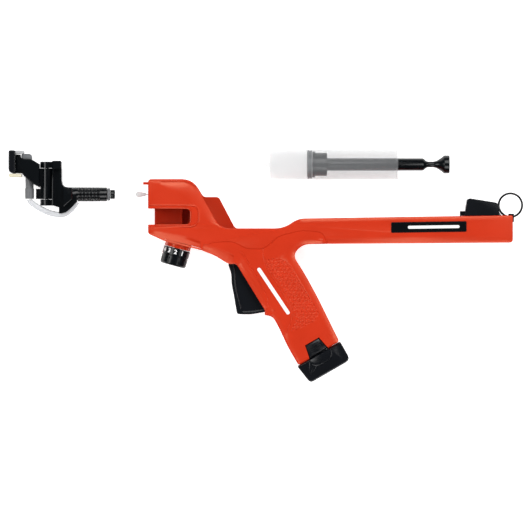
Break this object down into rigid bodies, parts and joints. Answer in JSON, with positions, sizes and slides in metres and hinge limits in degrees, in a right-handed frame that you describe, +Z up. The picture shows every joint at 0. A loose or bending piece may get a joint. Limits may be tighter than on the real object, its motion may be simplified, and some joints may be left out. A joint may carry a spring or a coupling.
{
  "type": "cordless paint edger",
  "caption": "Cordless pistol-grip paint edger laid out as a kit: gun with screw-driven pusher, paint syringe and clip-in edging head with a hose.",
  "frame": {"origin": "middle of the kit's footprint, on the bench it lies on", "axes": "+X to the gun's rear, +Y to the gun's top, +Z up from the bench through the gun's width"},
  "size_m": [0.5918, 0.2697, 0.0443],
  "materials": {
    "orange_housing": "moulded orange plastic, semi-gloss",
    "black_plastic": "black moulded plastic, fine texture",
    "grey_plastic": "grey moulded plastic",
    "white_plastic": "white soft plastic",
    "clear_plastic": "translucent polypropylene",
    "bright_steel": "bright steel",
    "bearing_brass": "turned brass",
    "circuit_board": "green circuit board",
    "paint_pad": "cream flocked foam",
    "cell_wrap": "shrink-wrapped cell"
  },
  "bodies": {
    "gun": {"left_shell": "orange_housing", "right_shell": "orange_housing", "drive_motor": "bright_steel", "reduction_gearbox": "black_plastic", "front_bearing": "bearing_brass", "rear_bearing": "bearing_brass", "syringe_tray": "orange_housing", "nozzle_saddle": "black_plastic", "head_socket": "orange_housing", "trigger_pin": "bright_steel", "trigger_spring": "bright_steel", "trigger_switch": "black_plastic", "dial_collar": "orange_housing", "speed_control": "circuit_board", "control_board": "circuit_board", "contact_block": "black_plastic", "badge_plate": "black_plastic", "housing_screw_1": "bright_steel", "housing_screw_2": "bright_steel", "housing_screw_3": "bright_steel", "housing_screw_4": "bright_steel", "housing_screw_5": "bright_steel", "housing_screw_6": "bright_steel"},
    "drive_gear": {"drive_gear": "white_plastic"},
    "screw": {"lead_screw": "bright_steel", "screw_gear": "white_plastic"},
    "needle": {"needle_stem": "bright_steel", "needle_tip": "white_plastic"},
    "trigger": {"trigger": "black_plastic"},
    "dial": {"speed_dial": "black_plastic", "dial_shaft": "bright_steel"},
    "carriage": {"pusher_carriage": "black_plastic", "drive_nut": "bearing_brass"},
    "ring": {"pull_ring": "black_plastic"},
    "battery": {"battery_case": "black_plastic", "battery_lid": "black_plastic", "battery_cell_1": "cell_wrap", "battery_cell_2": "cell_wrap", "battery_cell_3": "cell_wrap", "battery_cell_4": "cell_wrap"},
    "latch_left": {"latch_left": "black_plastic"},
    "latch_right": {"latch_right": "black_plastic"},
    "syringe": {"syringe_barrel": "clear_plastic"},
    "plunger": {"plunger_seal": "grey_plastic", "plunger_rod": "black_plastic"},
    "head": {"head_body": "black_plastic", "tail_tip": "black_plastic", "tail_seal": "grey_plastic", "hinge_pin": "bright_steel", "paint_hose": "clear_plastic"},
    "arm": {"swivel_arm": "black_plastic", "feed_fitting": "grey_plastic"},
    "button": {"release_button": "grey_plastic"},
    "pad": {"pad_plate": "black_plastic", "paint_pad": "paint_pad", "edge_guide": "grey_plastic"}
  },
  "joints": [
    {"name": "trigger_pull", "type": "hinge", "parent": "gun", "child": "trigger", "pos_m": [-0.03265, 0.01051, 0.022], "axis": [0, 0, 1], "range_deg": [0, 7], "stiffness_Nm_per_rad": 0.3, "springref_deg": -17.19},
    {"name": "needle_slide", "type": "slide", "parent": "gun", "child": "needle", "axis": [1, 0, 0], "range_m": [-0.0002, 0.0032]},
    {"name": "dial_turn", "type": "hinge", "parent": "gun", "child": "dial", "pos_m": [-0.10245, 0.01961, 0.022], "axis": [0.2672, 0.9636, 0], "range_deg": [-60, 60]},
    {"name": "carriage_slide", "type": "slide", "parent": "gun", "child": "carriage", "axis": [-1, 0, 0], "range_m": [0, 0.125]},
    {"name": "screw_spin", "type": "hinge", "parent": "gun", "child": "screw", "pos_m": [0.01935, 0.03161, 0.022], "axis": [1, 0, 0], "range_deg": [-20, 7620]},
    {"name": "drive_spin", "type": "hinge", "parent": "gun", "child": "drive_gear", "pos_m": [0.01935, 0.01941, 0.022], "axis": [1, 0, 0], "range_deg": [-3820, 20]},
    {"name": "ring_swing", "type": "hinge", "parent": "carriage", "child": "ring", "pos_m": [0.28115, 0.05611, 0.022], "axis": [1, 0, 0], "range_deg": [-45, 75]},
    {"name": "battery_slide", "type": "slide", "parent": "gun", "child": "battery", "axis": [0.5, -0.866, 0], "range_m": [0, 0.075]},
    {"name": "latch_left_press", "type": "slide", "parent": "battery", "child": "latch_left", "axis": [0, 0, -1], "range_m": [0, 0.0018], "stiffness_N_per_m": 1500, "springref_m": -0.001},
    {"name": "latch_right_press", "type": "slide", "parent": "battery", "child": "latch_right", "axis": [0, 0, 1], "range_m": [0, 0.0018], "stiffness_N_per_m": 1500, "springref_m": -0.001},
    {"name": "syringe_load", "type": "slide", "parent": "gun", "child": "syringe", "axis": [-0.7654, -0.6432, 0.0236], "range_m": [0, 0.09329]},
    {"name": "plunger_push", "type": "slide", "parent": "syringe", "child": "plunger", "axis": [-1, 0, 0], "range_m": [-0.078, 0.042]},
    {"name": "head_plug", "type": "slide", "parent": "gun", "child": "head", "axis": [1, 0, 0], "range_m": [0, 0.081]},
    {"name": "head_swivel", "type": "hinge", "parent": "head", "child": "arm", "pos_m": [-0.25245, 0.09451, 0.022], "axis": [0, 1, 0], "range_deg": [0, 45]},
    {"name": "button_press", "type": "slide", "parent": "arm", "child": "button", "axis": [0, -1, 0], "range_m": [0, 0.0018], "stiffness_N_per_m": 1200, "springref_m": -0.001},
    {"name": "pad_pull", "type": "slide", "parent": "arm", "child": "pad", "axis": [-1, 0, 0], "range_m": [0, 0.03]}
  ],
  "couplings": [
    {"joint": "needle_slide", "follows": "trigger_pull", "m_per_rad": 0.024555},
    {"joint": "screw_spin", "follows": "carriage_slide", "rad_per_m": 1047.2},
    {"joint": "drive_spin", "follows": "carriage_slide", "rad_per_m": -523.6}
  ]
}
